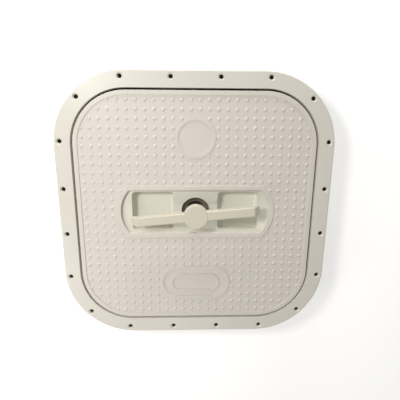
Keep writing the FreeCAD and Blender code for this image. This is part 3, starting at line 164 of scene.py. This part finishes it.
STUD_PITCH = 12.1 * MM
STUDS_ACROSS = 26
STUD_RADIUS = 2.7 * MM
STUD_HEIGHT = 0.95 * MM
STUD_SIDES = 14
STUD_RINGS = 4
RIDGE_RISE = 1.4 * MM
RIM_WIDTH = 5.9 * MM
RIM_INNER_CORNER = 65.8 * MM
RIM_CLEAR = 0.5 * MM
ROUND_FIELD_Y = 102 * MM
ROUND_FIELD_RADIUS = 29.4 * MM
LONG_FIELD_Y = -108 * MM
LONG_FIELD_LENGTH = 101 * MM
LONG_FIELD_WIDTH = 51 * MM
LONG_FIELD_CLEAR = 2.4 * MM
RECESS_HALF_WIDTH = 37.4 * MM
RECESS_END_CENTRE = 56.5 * MM
RECESS_END_RADIUS = 53.6 * MM
RECESS_CLEAR = 1.2 * MM
lid_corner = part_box("lid_panel")[1]
tread_level = lid_corner.z - RIDGE_RISE
rim_inner_half = lid_corner.x - RIM_WIDTH


def outside_rounded_square(x, y, half, corner):
    """How far points lie outside a square with round corners: distance from its core, less the radius."""
    over_x = np.maximum(np.abs(x) - (half - corner), 0)
    over_y = np.maximum(np.abs(y) - (half - corner), 0)
    return np.hypot(over_x, over_y) - corner


def outside_stadium(x, y, centre_y, length, width):
    """How far points lie outside a stadium along X: distance from its middle line, less half its width."""
    over_x = np.maximum(np.abs(x) - (length - width) / 2, 0)
    return np.hypot(over_x, y - centre_y) - width / 2


def outside_recess(x, y):
    """How far points lie outside the ridge of the recess: the larger of two distances.

    One is the distance past the straight sides, the other the distance past the arcs of the ends.
    """
    past_side = np.abs(y) - RECESS_HALF_WIDTH
    past_end = np.hypot(np.maximum(np.abs(x) - RECESS_END_CENTRE, 0), y) - RECESS_END_RADIUS
    return np.maximum(past_side, past_end)


steps = (np.arange(STUDS_ACROSS) - (STUDS_ACROSS - 1) / 2) * STUD_PITCH
stud_x, stud_y = (grid.ravel() for grid in np.meshgrid(steps, steps))
long_field = (LONG_FIELD_Y, LONG_FIELD_LENGTH, LONG_FIELD_WIDTH)
kept = (
    (outside_rounded_square(stud_x, stud_y, rim_inner_half, RIM_INNER_CORNER) < -RIM_CLEAR)
    & (np.hypot(stud_x, stud_y - ROUND_FIELD_Y) > ROUND_FIELD_RADIUS)
    & (outside_stadium(stud_x, stud_y, *long_field) > LONG_FIELD_CLEAR)
    & (outside_recess(stud_x, stud_y) > RECESS_CLEAR)
)
stud_x, stud_y = stud_x[kept], stud_y[kept]


def mesh_piece(name, points, face_arrays, material, smooth=True):
    """Mesh object at the origin from an array of points and one array of faces for each number of corners."""
    corners = np.concatenate([faces.ravel() for faces in face_arrays]).astype(np.int32)
    counts = np.concatenate([np.full(len(faces), faces.shape[1]) for faces in face_arrays])
    starts = np.concatenate([[0], np.cumsum(counts)[:-1]]).astype(np.int32)
    mesh = bpy.data.meshes.new(name)
    mesh.vertices.add(len(points))
    mesh.vertices.foreach_set("co", points.ravel())
    mesh.loops.add(len(corners))
    mesh.loops.foreach_set("vertex_index", corners)
    mesh.polygons.add(len(counts))
    mesh.polygons.foreach_set("loop_start", starts)
    mesh.polygons.foreach_set("use_smooth", np.full(len(counts), smooth))
    mesh.update(calc_edges=True)
    mesh.materials.append(material)
    piece = bpy.data.objects.new(name, mesh)
    bpy.context.scene.collection.objects.link(piece)
    return piece


def dome_rings(radius, height, sides, rings):
    """Half-round stud: circles whose radius falls as cos a and whose level grows as sin a, a up to 90 degrees."""
    around = np.arange(sides) * 2 * np.pi / sides
    rise = np.linspace(0, np.pi / 2, rings + 1)[:-1]
    ring_radius = radius * np.cos(rise)[:, None]
    x = ring_radius * np.cos(around)
    y = ring_radius * np.sin(around)
    z = height * np.sin(rise)[:, None] + 0 * around
    points = np.stack([x, y, z], axis=-1).reshape(-1, 3)
    return np.vstack([points, [[0, 0, height]]])


def ring_quads(sides, rings):
    """Faces between neighbouring circles: a point, the next one round, and the two above them."""
    first = np.arange(rings - 1)[:, None] * sides
    here = first + np.arange(sides)
    beside = first + np.roll(np.arange(sides), -1)
    return np.stack([here, beside, beside + sides, here + sides], axis=-1).reshape(-1, 4)


def cap_triangles(sides, rings):
    """Fan from the last circle to the point on top."""
    here = (rings - 1) * sides + np.arange(sides)
    beside = (rings - 1) * sides + np.roll(np.arange(sides), -1)
    return np.stack([here, beside, np.full(sides, rings * sides)], axis=-1)


def on_every_stud(faces, points_each, studs):
    """The same faces for each stud, their point numbers raised by the points of the studs before it."""
    return (faces[None] + np.arange(studs)[:, None, None] * points_each).reshape(-1, faces.shape[1])


one_stud = dome_rings(STUD_RADIUS, STUD_HEIGHT, STUD_SIDES, STUD_RINGS)
stud_base = np.stack([stud_x, stud_y, np.full(len(stud_x), tread_level)], axis=-1)
all_studs = (stud_base[:, None, :] + one_stud[None, :, :]).reshape(-1, 3)
stud_faces = [on_every_stud(faces, len(one_stud), len(stud_x))
              for faces in (ring_quads(STUD_SIDES, STUD_RINGS), cap_triangles(STUD_SIDES, STUD_RINGS))]
studs = mesh_piece("lid_studs", all_studs, stud_faces, lid_asa)
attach(studs, "lid")

# Handle pan: a separate tray, screwed up against the lid from below. It is the same plastic from another
# batch, a little lighter and greener, and its tool was polished finer than the tread's.
PAN_WHITE = "#E6E4D7"
PAN_WHITE_SHADE = "#E1DED0"
pan_asa = moulded_asa("pan_moulded_asa", PAN_WHITE, PAN_WHITE_SHADE, 0.9 * MM, 0.03 * MM, 0.36)
finish_nodes(pan_asa, "handle_pan")

# T-handle and its cap: moulded in creamy white, the handle hollow underneath and rounded along the top.
# The cap hides the hub's screw. Hands have polished both, so they are the glossiest plastic on the hatch.
HANDLE_WHITE = "#D9D2C0"
HANDLE_WHITE_SHADE = "#D4CDBA"
handle_asa = moulded_asa("handle_moulded_asa", HANDLE_WHITE, HANDLE_WHITE_SHADE, 0.9 * MM, 0.02 * MM, 0.24)
finish_nodes(handle_asa, "t_handle", "hub_cap")

# Lock spindle: sleeve, bush, ring nut and washers are turned from a bearing plastic that needs no oil,
# grey-brown or, for the washers, pale. The grey-brown is partly painted shade: it is darker than the plastic
# to carry the shade deep in the handle's cup. The lathe leaves fine rings, and the sleeve's lower end is
# threaded.
MOTTLE_SIZE = 9 * MM
TOOL_RING_PITCH = 0.8 * MM
TOOL_RING_DEPTH = 0.04 * MM
THREAD_PITCH = 1.5 * MM
THREAD_DEPTH = 0.8 * MM


def waves(tree, place, pitch, settings):
    """Wave texture with one wave to a pitch: its scale is one over 2 pi times the pitch."""
    return add_node(tree, "ShaderNodeTexWave", settings, {
        "Vector": place, "Scale": 1 / pitch / (2 * math.pi), "Distortion": 0.0}).outputs["Fac"]


def turned_acetal(name, colour, shade, thread_top=None):
    """Turned acetal: IOR 1.48, waxy, with tool rings round the axis, drawn coarser than real ones to show.

    Where there is a thread, its turns show below its top.
    """
    material, tree, place = new_material(name)
    mottle = lumps(tree, place, MOTTLE_SIZE, 3.0)
    rings = waves(tree, place, TOOL_RING_PITCH, {
        "wave_type": "RINGS", "rings_direction": "Z", "wave_profile": "SIN"})
    skin = relief(tree, rings, TOOL_RING_DEPTH, 0.5)
    if thread_top is not None:
        turns = waves(tree, place, THREAD_PITCH, {
            "wave_type": "BANDS", "bands_direction": "Z", "wave_profile": "TRI"})
        level = add_node(tree, "ShaderNodeSeparateXYZ", inputs={"Vector": place}).outputs["Z"]
        below = add_node(tree, "ShaderNodeMath", {"operation": "LESS_THAN"}, {0: level, 1: thread_top})
        skin = relief(tree, turns, THREAD_DEPTH, below.outputs["Value"], skin)
    close_surface(tree, {
        "Base Color": between(tree, mottle, colour, shade), "Roughness": 0.42, "IOR": 1.48, "Normal": skin})
    return material


# Partly painted shade: this grey-brown is darker than the plastic, to carry the shade deep in the handle's cup.
SLEEVE_BROWN_WITH_PAINTED_SHADE = "#6A6350"
SLEEVE_MOTTLE_BROWN_WITH_PAINTED_SHADE = "#5C5644"
WASHER_WHITE = "#DAD8CE"
WASHER_WHITE_SHADE = "#D0CEC3"
nut_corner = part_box("ring_nut")[1]
finish_nodes(turned_acetal("sleeve_turned_acetal", SLEEVE_BROWN_WITH_PAINTED_SHADE, SLEEVE_MOTTLE_BROWN_WITH_PAINTED_SHADE, nut_corner.z), "lock_sleeve")
finish_nodes(turned_acetal("bearing_turned_acetal", SLEEVE_BROWN_WITH_PAINTED_SHADE, SLEEVE_MOTTLE_BROWN_WITH_PAINTED_SHADE), "spindle_bush", "ring_nut")
finish_nodes(turned_acetal("washer_turned_acetal", WASHER_WHITE, WASHER_WHITE_SHADE),
             "flange_washer", "thrust_washer")

# Seals: lid seal, shaft wiper and O-rings are black rubber, extruded or pressed, and the gasket between pan
# and lid is stamped from pale foam rubber. Rubber is dull, with a faint bloom of talc on it.
BLOOM_SIZE = 4 * MM
PIMPLE_SIZE = 0.7 * MM
PIMPLE_HEIGHT = 0.06 * MM


def pressed_rubber(name, colour, bloom):
    """EPDM rubber: IOR 1.52, rough, with powdery patches and small pimples that scatter what light it mirrors."""
    material, tree, place = new_material(name)
    patches = stretched_range(tree, lumps(tree, place, BLOOM_SIZE, 4.0, 0.6), 0.45, 0.75)
    pimples = lumps(tree, place, PIMPLE_SIZE, 1.0)
    close_surface(tree, {
        "Base Color": between(tree, patches, colour, bloom), "Roughness": 0.8, "IOR": 1.52,
        "Specular IOR Level": 0.2, "Normal": relief(tree, pimples, PIMPLE_HEIGHT, 0.5)})
    return material


SEAL_BLACK = "#17140F"
SEAL_BLOOM = "#28241E"
GASKET_WHITE = "#D2CFC4"
GASKET_BLOOM = "#DDDAD0"
finish_nodes(pressed_rubber("seal_epdm_rubber", SEAL_BLACK, SEAL_BLOOM),
             "lid_seal", "shaft_wiper", "shaft_o_ring", "sleeve_o_ring")
finish_nodes(pressed_rubber("gasket_foam_rubber", GASKET_WHITE, GASKET_BLOOM), "pan_gasket")

# Gap shade bead: a black rubber cord in the corner between the frame's shelf and the wall of its well, right
# under the gap round the lid. It is painted shade: its black makes the deep gap round the lid look dark.
# Painted shade: the bead is black so that the deep gap round the lid looks dark.
GAP_SHADE_BLACK = "#121210"
GAP_SHADE_BLOOM = "#1D1C1A"
BEAD_RADIUS = 2.6 * MM
BEAD_SIDES = 16
WELL_HALF = 165.2 * MM
WELL_CORNER = 74.0 * MM
SHELF_TOP = -11.0 * MM
ARC_POINTS = 36


def round_square_ring(halves, corners, levels):
    """Closed ring through outlines round each other: each is a square with round corners, at its own level.

    A point's corner centre is half minus corner out along both axes, and the point lies one corner radius
    from it at angle a. The angle runs through 0 to 90 degrees at each corner, and every corner is a quarter
    turn on. Faces join a point, the next one round, and the two on the next outline.
    """
    quarter = np.repeat(np.arange(4), ARC_POINTS) * np.pi / 2
    a = quarter + np.tile(np.linspace(0, np.pi / 2, ARC_POINTS), 4)
    core = (halves - corners)[:, None]
    x = core * (np.cos(quarter) - np.sin(quarter)) + corners[:, None] * np.cos(a)
    y = core * (np.sin(quarter) + np.cos(quarter)) + corners[:, None] * np.sin(a)
    points = np.stack([x, y, levels[:, None] + 0 * x], axis=-1)
    outline, step = np.meshgrid(np.arange(len(halves)), np.arange(len(a)), indexing="ij")
    here, above = outline * len(a), (outline + 1) % len(halves) * len(a)
    beside = (step + 1) % len(a)
    quads = np.stack([here + step, here + beside, above + beside, above + step], axis=-1)
    return points.reshape(-1, 3), quads.reshape(-1, 4)


round_bead = np.arange(BEAD_SIDES) * 2 * np.pi / BEAD_SIDES
bead_out = BEAD_RADIUS * (np.cos(round_bead) - 1)
bead_levels = SHELF_TOP + BEAD_RADIUS * (1 + np.sin(round_bead))
bead_points, bead_quads = round_square_ring(WELL_HALF + bead_out, WELL_CORNER + bead_out, bead_levels)
gap_shade_rubber = pressed_rubber("gap_shade_bead_rubber", GAP_SHADE_BLACK, GAP_SHADE_BLOOM)
gap_shade_bead = mesh_piece("gap_shade_bead", bead_points, [bead_quads], gap_shade_rubber)
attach(gap_shade_bead, "frame")

# Hole shade strip: a black rubber sheet under the flange round the neck. It is painted shade: it isn't punched,
# so the bottom of each empty screw hole shows dark, as a shaded ground would. Its two edges are round.
# Painted shade: the strip is black so that the empty screw holes show the dark of a shaded ground.
HOLE_SHADE_BLACK = "#14110C"
HOLE_SHADE_BLOOM = "#1F1B15"
STRIP_HALF_THICK = 0.45 * MM
STRIP_LEVEL = -0.48 * MM
STRIP_INSET = 3.0 * MM
STRIP_CLEAR = 0.3 * MM
STRIP_EDGE_POINTS = 5
FLANGE_HALF = 187.5 * MM
FLANGE_CORNER = 98.0 * MM
NECK_HALF = 168.2 * MM
NECK_CORNER = 77.0 * MM
outer_edge = np.linspace(-np.pi / 2, np.pi / 2, STRIP_EDGE_POINTS)
inner_edge = np.linspace(np.pi / 2, 3 * np.pi / 2, STRIP_EDGE_POINTS)
outer_in = -STRIP_INSET - STRIP_HALF_THICK * (1 - np.cos(outer_edge))
inner_out = STRIP_CLEAR + STRIP_HALF_THICK * (1 + np.cos(inner_edge))
strip_points, strip_quads = round_square_ring(
    np.concatenate([FLANGE_HALF + outer_in, NECK_HALF + inner_out]),
    np.concatenate([FLANGE_CORNER + outer_in, NECK_CORNER + inner_out]),
    STRIP_LEVEL + STRIP_HALF_THICK * np.sin(np.concatenate([outer_edge, inner_edge])))
hole_shade_rubber = pressed_rubber("hole_shade_strip_rubber", HOLE_SHADE_BLACK, HOLE_SHADE_BLOOM)
hole_shade_strip = mesh_piece("hole_shade_strip", strip_points, [strip_quads], hole_shade_rubber, smooth=False)
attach(hole_shade_strip, "frame")

# Locking bar: moulded in dark glass-filled nylon, stiff and hollow underneath, with two tongues. The ring
# nut holds it on the sleeve. Glass fibres make its skin cloudy and slightly streaked along the arms.
BAR_GREY = "#37383A"
BAR_STREAK = "#4A4B4D"
STREAK_WIDTH = 3 * MM
STREAK_LENGTH = 20 * MM
SKIN_SIZE = 0.8 * MM
SKIN_HEIGHT = 0.07 * MM


def glass_filled_nylon(name, colour, streak):
    """Glass-filled nylon: IOR 1.53, satin, with long streaks along X where the fibres lie near its skin."""
    material, tree, place = new_material(name)
    along = add_node(tree, "ShaderNodeMapping", inputs={
        "Vector": place, "Scale": (STREAK_WIDTH / STREAK_LENGTH, 1.0, 1.0)}).outputs["Vector"]
    fibres = lumps(tree, along, STREAK_WIDTH, 5.0, 0.65)
    skin = lumps(tree, place, SKIN_SIZE, 2.0)
    close_surface(tree, {
        "Base Color": between(tree, fibres, colour, streak), "Roughness": 0.48, "IOR": 1.53,
        "Normal": relief(tree, skin, SKIN_HEIGHT, 0.6)})
    return material


finish_nodes(glass_filled_nylon("bar_filled_nylon", BAR_GREY, BAR_STREAK), "locking_bar")

# Shaft, drive block and screws: stainless steel, ground and then polished. The grinding leaves a fine
# uneven brightness, and the steel mirrors the white lid round it.
STEEL_GREY = "#C9C6C0"
MARK_SIZE = 0.6 * MM
MARK_DEPTH = 0.01 * MM


def polished_stainless(name):
    """Stainless steel: metallic, with lapping marks that change its roughness from spot to spot."""
    material, tree, place = new_material(name)
    marks = lumps(tree, place, MARK_SIZE, 3.0)
    close_surface(tree, {
        "Base Color": linear(STEEL_GREY), "Metallic": 1.0,
        "Roughness": stretched_range(tree, marks, 0.3, 0.7, 0.16, 0.34),
        "Normal": relief(tree, marks, MARK_DEPTH, 0.4)})
    return material


finish_nodes(polished_stainless("polished_stainless_steel"),
             "handle_shaft", "drive_block", "block_screw", "hub_screw", "pan_screws")

# Floor: a pale studio sheet under the neck's rim. The camera sees it lit up to white, as a cut-out
# photograph's ground is, and the hatch still throws its soft shadow on it.
SHEET_WHITE = "#F1F0EE"
SHEET_GLOW = 0.45
SHEET_HALF = 4.0
PURE_WHITE = (1.0, 1.0, 1.0, 1.0)


def seen_rays(tree):
    """1 for rays from the camera, off gloss or through glass, else 0: the largest of the three ray flags."""
    rays = add_node(tree, "ShaderNodeLightPath")
    mirrored = add_node(tree, "ShaderNodeMath", {"operation": "MAXIMUM"}, {
        0: rays.outputs["Is Glossy Ray"], 1: rays.outputs["Is Transmission Ray"]})
    seen = add_node(tree, "ShaderNodeMath", {"operation": "MAXIMUM"}, {
        0: rays.outputs["Is Camera Ray"], 1: mirrored.outputs["Value"]})
    return seen.outputs["Value"]


sheet_material = bpy.data.materials.new("pale_studio_sheet")
sheet_material.use_nodes = True
sheet_tree = sheet_material.node_tree
sheet_tree.nodes.clear()
paper = add_node(sheet_tree, "ShaderNodeBsdfDiffuse", inputs={"Color": linear(SHEET_WHITE)})
glow_strength = add_node(sheet_tree, "ShaderNodeMath", {"operation": "MULTIPLY"}, {
    0: seen_rays(sheet_tree), 1: SHEET_GLOW})
glow = add_node(sheet_tree, "ShaderNodeEmission", inputs={
    "Color": PURE_WHITE, "Strength": glow_strength.outputs["Value"]})
both = add_node(sheet_tree, "ShaderNodeAddShader", inputs={0: paper.outputs["BSDF"], 1: glow.outputs["Emission"]})
add_node(sheet_tree, "ShaderNodeOutputMaterial", inputs={"Surface": both.outputs["Shader"]})
sheet_corners = np.array([[-1, -1, 0], [1, -1, 0], [1, 1, 0], [-1, 1, 0]]) * SHEET_HALF + [0, 0, cad_box[0][2]]
floor = mesh_piece("studio_floor", sheet_corners, [np.array([[0, 1, 2, 3]])], sheet_material, smooth=False)

# Light: a small soft lamp high over the far left corner throws the shadows of the handle and of the recess's
# edges. A weak window stands low on the near left, a weak broad lamp beyond the near edge, and a broad low
# one beyond the far edge, which lights the far sides of handle and studs. A pale room is all round.
LAMP_WHITE = "#FFFEFC"
ROOM_WHITE = "#F4F3F0"
ROOM_STRENGTH = 0.34


def soft_lamp(name, place, width, height, watts):
    """Rectangular area lamp at a place, turned to the middle of the lid.

    It shines down its own Z axis. It tips about X by the arctangent of its level distance over its height,
    and turns about Z by the bearing of the middle from it, less a quarter turn.
    """
    lamp = bpy.data.lights.new(name, "AREA")
    lamp.shape = "RECTANGLE"
    lamp.size = width
    lamp.size_y = height
    lamp.energy = watts
    lamp.color = linear(LAMP_WHITE)[:3]
    lamp_object = bpy.data.objects.new(name, lamp)
    lamp_object.location = place
    x, y, z = place
    lamp_object.rotation_euler = (math.atan2(math.hypot(x, y), z), 0.0, math.atan2(-y, -x) - math.pi / 2)
    bpy.context.scene.collection.objects.link(lamp_object)


soft_lamp("key_lamp", (-0.32, 0.30, 0.60), 0.13, 0.13, 2.5)
soft_lamp("left_window", (-0.42, -0.30, 0.33), 0.25, 0.25, 0.8)
soft_lamp("near_lamp", (0.0, -0.80, 0.90), 0.50, 0.30, 0.8)
soft_lamp("far_lamp", (0.0, 1.20, 0.22), 0.50, 0.30, 7.0)

world = bpy.data.worlds.new("pale_room")
world.use_nodes = True
world_tree = world.node_tree
world_tree.nodes.clear()
room = add_node(world_tree, "ShaderNodeBackground", inputs={
    "Color": linear(ROOM_WHITE), "Strength": ROOM_STRENGTH})
white = add_node(world_tree, "ShaderNodeBackground", inputs={"Color": PURE_WHITE, "Strength": 1.0})
shown = add_node(world_tree, "ShaderNodeMixShader", inputs={
    "Fac": seen_rays(world_tree), 1: room.outputs["Background"], 2: white.outputs["Background"]})
add_node(world_tree, "ShaderNodeOutputWorld", inputs={"Surface": shown.outputs["Shader"]})
bpy.context.scene.world = world

# Camera: held over the far half of the hatch and tipped back towards it, at arm's length, as a telephone
# is. Its place and turn were solved from the flange's four sides and the screw holes.
camera_data = bpy.data.cameras.new("camera")
camera_data.sensor_width = 36.0
camera_data.lens = 32.5
camera = bpy.data.objects.new("camera", camera_data)
camera.location = (-0.0108, 0.1426, 0.4874)
camera.rotation_euler = (math.radians(-14.52), math.radians(-1.89), math.radians(0.44))
bpy.context.scene.collection.objects.link(camera)
bpy.context.scene.camera = camera
bpy.context.scene.view_settings.view_transform = "Standard"
